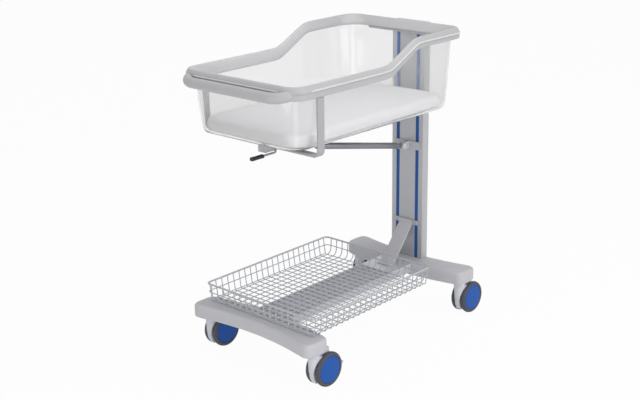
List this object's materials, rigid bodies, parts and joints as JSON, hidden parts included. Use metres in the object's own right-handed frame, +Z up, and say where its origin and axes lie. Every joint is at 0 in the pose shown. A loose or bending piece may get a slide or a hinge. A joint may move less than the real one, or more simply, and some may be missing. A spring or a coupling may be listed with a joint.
{
  "type": "hospital bassinet",
  "caption": "Newborn cot trolley: clear tub in a stepped plastic rim that tilts on a rear column by a lockable gas spring, over a wire basket and a castor base.",
  "frame": {"origin": "on the floor, in the middle of the plan box of the whole object at rest", "axes": "+X to the right seen from the foot end, -Y to the foot end with the push handle, +Y to the column, +Z up"},
  "size_m": [0.462, 0.8602, 0.9055],
  "materials": {
    "cast_base": "fine-textured light grey powder coat",
    "anodised_profile": "satin anodised extrusion",
    "rim_plastic": "satin moulded light grey",
    "blue_plastic": "satin moulded blue",
    "steel": "plated satin steel",
    "wire": "light grey coated wire",
    "clear_plastic": "clear gloss",
    "mattress_cover": "smooth white wipe-clean cover",
    "spring_paint": "satin mid grey paint",
    "grip_rubber": "matt black",
    "castor_plastic": "satin moulded pale grey",
    "tyre": "matt dark grey tread"
  },
  "bodies": {
    "base": {"front_leg": "cast_base", "rear_leg": "cast_base", "spine": "anodised_profile", "column": "anodised_profile", "column_cap": "rim_plastic", "strip_left": "blue_plastic", "strip_right": "blue_plastic", "gusset_strut": "cast_base", "gusset_clamp": "steel", "spring_bracket": "cast_base", "spring_pin": "steel", "hinge_bolt_left": "steel", "hinge_bolt_right": "steel", "basket_floor": "wire", "basket_left": "wire", "basket_right": "wire", "basket_foot_end": "wire", "basket_head_end": "wire"},
    "tub_frame": {"rim": "rim_plastic", "tub": "clear_plastic", "foot_strap": "cast_base", "push_handle": "rim_plastic", "hinge_bracket": "cast_base", "release_block": "cast_base", "lever_pin": "steel"},
    "mattress": {"mattress": "mattress_cover"},
    "spring_cylinder": {"spring_cylinder": "spring_paint"},
    "spring_rod": {"spring_rod": "steel"},
    "release_lever": {"lever_rod": "steel", "lever_grip": "grip_rubber"},
    "front_left_castor": {"front_left_castor_housing": "castor_plastic", "front_left_castor_axle": "steel"},
    "front_left_castor_left_wheel": {"front_left_castor_left_tyre": "tyre", "front_left_castor_left_hub": "blue_plastic"},
    "front_left_castor_right_wheel": {"front_left_castor_right_tyre": "tyre", "front_left_castor_right_hub": "blue_plastic"},
    "front_left_castor_pedal": {"front_left_castor_brake_pedal": "castor_plastic"},
    "front_right_castor": {"front_right_castor_housing": "castor_plastic", "front_right_castor_axle": "steel"},
    "front_right_castor_left_wheel": {"front_right_castor_left_tyre": "tyre", "front_right_castor_left_hub": "blue_plastic"},
    "front_right_castor_right_wheel": {"front_right_castor_right_tyre": "tyre", "front_right_castor_right_hub": "blue_plastic"},
    "front_right_castor_pedal": {"front_right_castor_brake_pedal": "castor_plastic"},
    "rear_left_castor": {"rear_left_castor_housing": "castor_plastic", "rear_left_castor_axle": "steel"},
    "rear_left_castor_left_wheel": {"rear_left_castor_left_tyre": "tyre", "rear_left_castor_left_hub": "blue_plastic"},
    "rear_left_castor_right_wheel": {"rear_left_castor_right_tyre": "tyre", "rear_left_castor_right_hub": "blue_plastic"},
    "rear_right_castor": {"rear_right_castor_housing": "castor_plastic", "rear_right_castor_axle": "steel"},
    "rear_right_castor_left_wheel": {"rear_right_castor_left_tyre": "tyre", "rear_right_castor_left_hub": "blue_plastic"},
    "rear_right_castor_right_wheel": {"rear_right_castor_right_tyre": "tyre", "rear_right_castor_right_hub": "blue_plastic"}
  },
  "joints": [
    {"name": "tilt", "type": "hinge", "parent": "base", "child": "tub_frame", "pos_m": [0, 0.34525, 0.8785], "axis": [1, 0, 0], "range_deg": [-12, 8]},
    {"name": "spring_swing", "type": "hinge", "parent": "base", "child": "spring_cylinder", "pos_m": [0, 0.30425, 0.517], "axis": [1, 0, 0], "range_deg": [-11.3, 7.6]},
    {"name": "spring_slide", "type": "slide", "parent": "spring_cylinder", "child": "spring_rod", "axis": [0, -0.9784, 0.2065], "range_m": [-0.052, 0.077]},
    {"name": "lever_squeeze", "type": "hinge", "parent": "tub_frame", "child": "release_lever", "pos_m": [0.0185, -0.26575, 0.6392], "axis": [1, 0, 0], "range_deg": [-9, 0], "stiffness_Nm_per_rad": 1, "springref_deg": 17.19},
    {"name": "mattress_lift", "type": "slide", "parent": "tub_frame", "child": "mattress", "axis": [0, 0, 1], "range_m": [0, 0.26]},
    {"name": "front_left_swivel", "type": "hinge", "parent": "base", "child": "front_left_castor", "pos_m": [-0.2025, -0.32975, 0.12], "axis": [0, 0, 1], "continuous": true},
    {"name": "front_left_left_roll", "type": "hinge", "parent": "front_left_castor", "child": "front_left_castor_left_wheel", "pos_m": [-0.2195, -0.28975, 0.05], "axis": [1, 0, 0], "continuous": true},
    {"name": "front_left_right_roll", "type": "hinge", "parent": "front_left_castor", "child": "front_left_castor_right_wheel", "pos_m": [-0.1855, -0.28975, 0.05], "axis": [1, 0, 0], "continuous": true},
    {"name": "front_left_brake", "type": "hinge", "parent": "front_left_castor", "child": "front_left_castor_pedal", "pos_m": [-0.2025, -0.27175, 0.05], "axis": [1, 0, 0], "range_deg": [-12, 0]},
    {"name": "front_right_swivel", "type": "hinge", "parent": "base", "child": "front_right_castor", "pos_m": [0.2025, -0.32975, 0.12], "axis": [0, 0, 1], "continuous": true},
    {"name": "front_right_left_roll", "type": "hinge", "parent": "front_right_castor", "child": "front_right_castor_left_wheel", "pos_m": [0.1855, -0.28975, 0.05], "axis": [1, 0, 0], "continuous": true},
    {"name": "front_right_right_roll", "type": "hinge", "parent": "front_right_castor", "child": "front_right_castor_right_wheel", "pos_m": [0.2195, -0.28975, 0.05], "axis": [1, 0, 0], "continuous": true},
    {"name": "front_right_brake", "type": "hinge", "parent": "front_right_castor", "child": "front_right_castor_pedal", "pos_m": [0.2025, -0.27175, 0.05], "axis": [1, 0, 0], "range_deg": [-12, 0]},
    {"name": "rear_left_swivel", "type": "hinge", "parent": "base", "child": "rear_left_castor", "pos_m": [-0.2025, 0.34025, 0.12], "axis": [0, 0, 1], "continuous": true},
    {"name": "rear_left_left_roll", "type": "hinge", "parent": "rear_left_castor", "child": "rear_left_castor_left_wheel", "pos_m": [-0.2195, 0.38025, 0.05], "axis": [1, 0, 0], "continuous": true},
    {"name": "rear_left_right_roll", "type": "hinge", "parent": "rear_left_castor", "child": "rear_left_castor_right_wheel", "pos_m": [-0.1855, 0.38025, 0.05], "axis": [1, 0, 0], "continuous": true},
    {"name": "rear_right_swivel", "type": "hinge", "parent": "base", "child": "rear_right_castor", "pos_m": [0.2025, 0.34025, 0.12], "axis": [0, 0, 1], "continuous": true},
    {"name": "rear_right_left_roll", "type": "hinge", "parent": "rear_right_castor", "child": "rear_right_castor_left_wheel", "pos_m": [0.1855, 0.38025, 0.05], "axis": [1, 0, 0], "continuous": true},
    {"name": "rear_right_right_roll", "type": "hinge", "parent": "rear_right_castor", "child": "rear_right_castor_right_wheel", "pos_m": [0.2195, 0.38025, 0.05], "axis": [1, 0, 0], "continuous": true}
  ],
  "couplings": [
    {"joint": "spring_swing", "follows": "tilt", "ratio": 0.92366},
    {"joint": "spring_slide", "follows": "tilt", "m_per_rad": -0.35976}
  ]
}
